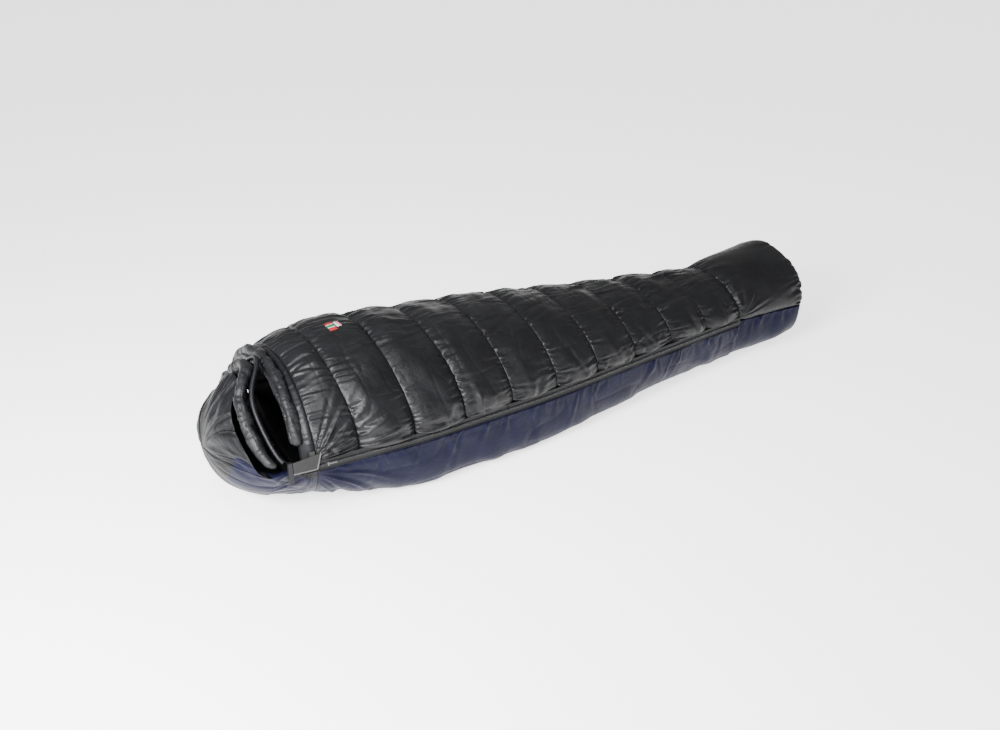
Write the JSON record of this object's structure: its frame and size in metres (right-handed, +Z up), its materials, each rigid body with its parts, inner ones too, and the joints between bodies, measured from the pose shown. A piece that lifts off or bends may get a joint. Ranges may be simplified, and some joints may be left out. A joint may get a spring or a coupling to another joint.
{
  "type": "mummy sleeping bag",
  "caption": "Down-filled mummy sleeping bag lying zipped up, with quilted chambers, a side zip, a drawn-in hood, a draft collar and a boxed foot.",
  "frame": {"origin": "on the ground under the middle of the bag, on the flat of the floor", "axes": "+X towards the foot, -Y towards the side zip, +Z up"},
  "size_m": [1.9379, 0.5501, 0.3987],
  "materials": {
    "quilt_shell": "satin",
    "floor_shell": "satin",
    "lining": "satin",
    "baffle_mesh": "matt",
    "zip_tape": "woven",
    "zip_metal": "lacquered",
    "collar_shell": "satin",
    "piping": "woven",
    "tab_web": "woven",
    "hook_loop": "matt",
    "cord": "braided",
    "lock_plastic": "moulded",
    "spring_wire": "bright",
    "label_patch": "woven",
    "label_tag": "woven"
  },
  "bodies": {
    "root": {"floor_chamber_1": "floor_shell", "floor_chamber_2": "floor_shell", "floor_chamber_3": "floor_shell", "floor_chamber_4": "floor_shell", "floor_chamber_5": "floor_shell", "side_panel_near": "floor_shell", "side_panel_far": "floor_shell", "floor_liner": "lining", "foot_box_top": "quilt_shell", "foot_box_end": "quilt_shell", "foot_box_base": "floor_shell", "foot_liner": "lining", "collar_base": "collar_shell", "zip_lower": "zip_tape", "zip_bottom_stop": "zip_metal", "tab_anchor": "tab_web", "hood_base": "floor_shell"},
    "quilt_shin": {"top_chamber_08": "quilt_shell", "top_chamber_09": "quilt_shell", "top_chamber_10": "quilt_shell", "baffle_walls_shin": "baffle_mesh", "liner_shin": "lining", "zip_upper_shin": "zip_tape", "draft_tube_shin": "lining"},
    "quilt_thigh": {"top_chamber_05": "quilt_shell", "top_chamber_06": "quilt_shell", "top_chamber_07": "quilt_shell", "baffle_walls_thigh": "baffle_mesh", "liner_thigh": "lining", "zip_upper_thigh": "zip_tape", "draft_tube_thigh": "lining"},
    "quilt_torso": {"top_chamber_01": "quilt_shell", "top_chamber_02": "quilt_shell", "top_chamber_03": "quilt_shell", "top_chamber_04": "quilt_shell", "baffle_walls_torso": "baffle_mesh", "liner_torso": "lining", "zip_upper_torso": "zip_tape", "draft_tube_torso": "lining", "neck_band": "quilt_shell", "collar_top": "collar_shell", "loop_pad": "hook_loop", "woven_label": "label_patch", "side_tag": "label_tag"},
    "slider": {"zip_slider": "zip_metal"},
    "puller": {"zip_puller": "zip_metal"},
    "guard": {"guard_tab": "tab_web", "hook_pad": "hook_loop"},
    "hood": {"hood_crown": "quilt_shell", "hood_side_near": "quilt_shell", "hood_side_far": "quilt_shell", "hood_liner": "lining", "rim_baffle": "collar_shell", "rim_channel": "piping", "hood_drawcord": "cord", "cord_lock_body": "lock_plastic", "cord_lock_spring": "spring_wire"},
    "lock_button": {"cord_lock_button": "lock_plastic"}
  },
  "joints": [
    {"name": "quilt_shin_open", "type": "hinge", "parent": "root", "child": "quilt_shin", "pos_m": [-0.06, 0.257, 0.1607], "axis": [-0.9985, 0.0536, 0.0126], "range_deg": [0, 45]},
    {"name": "quilt_thigh_open", "type": "hinge", "parent": "quilt_shin", "child": "quilt_thigh", "pos_m": [-0.06, 0.257, 0.1607], "axis": [-0.9985, 0.0536, 0.0126], "range_deg": [0, 45]},
    {"name": "quilt_torso_open", "type": "hinge", "parent": "quilt_thigh", "child": "quilt_torso", "pos_m": [-0.06, 0.257, 0.1607], "axis": [-0.9985, 0.0536, 0.0126], "range_deg": [0, 45]},
    {"name": "zip_slide", "type": "slide", "parent": "root", "child": "slider", "axis": [0.9988, -0.0484, -0.0081], "range_m": [0, 0.225]},
    {"name": "zip_pull_swing", "type": "hinge", "parent": "slider", "child": "puller", "pos_m": [-0.70534, -0.2639, 0.16776], "axis": [-0.0081, 0.0004, -1], "range_deg": [0, 120]},
    {"name": "guard_open", "type": "hinge", "parent": "root", "child": "guard", "pos_m": [-0.795, -0.2673, 0.185], "axis": [0, 0, -1], "range_deg": [0, 150]},
    {"name": "hood_back", "type": "hinge", "parent": "root", "child": "hood", "pos_m": [-0.945, 0, 0.161], "axis": [0, -1, 0], "range_deg": [0, 50]},
    {"name": "lock_press", "type": "slide", "parent": "hood", "child": "lock_button", "axis": [0, -0.6766, -0.7363], "range_m": [0, 0.003], "stiffness_N_per_m": 250, "springref_m": -0.002, "deforming": ["cord_lock_spring"]}
  ],
  "couplings": [
    {"joint": "quilt_thigh_open", "follows": "quilt_shin_open", "ratio": 1},
    {"joint": "quilt_torso_open", "follows": "quilt_shin_open", "ratio": 1}
  ]
}
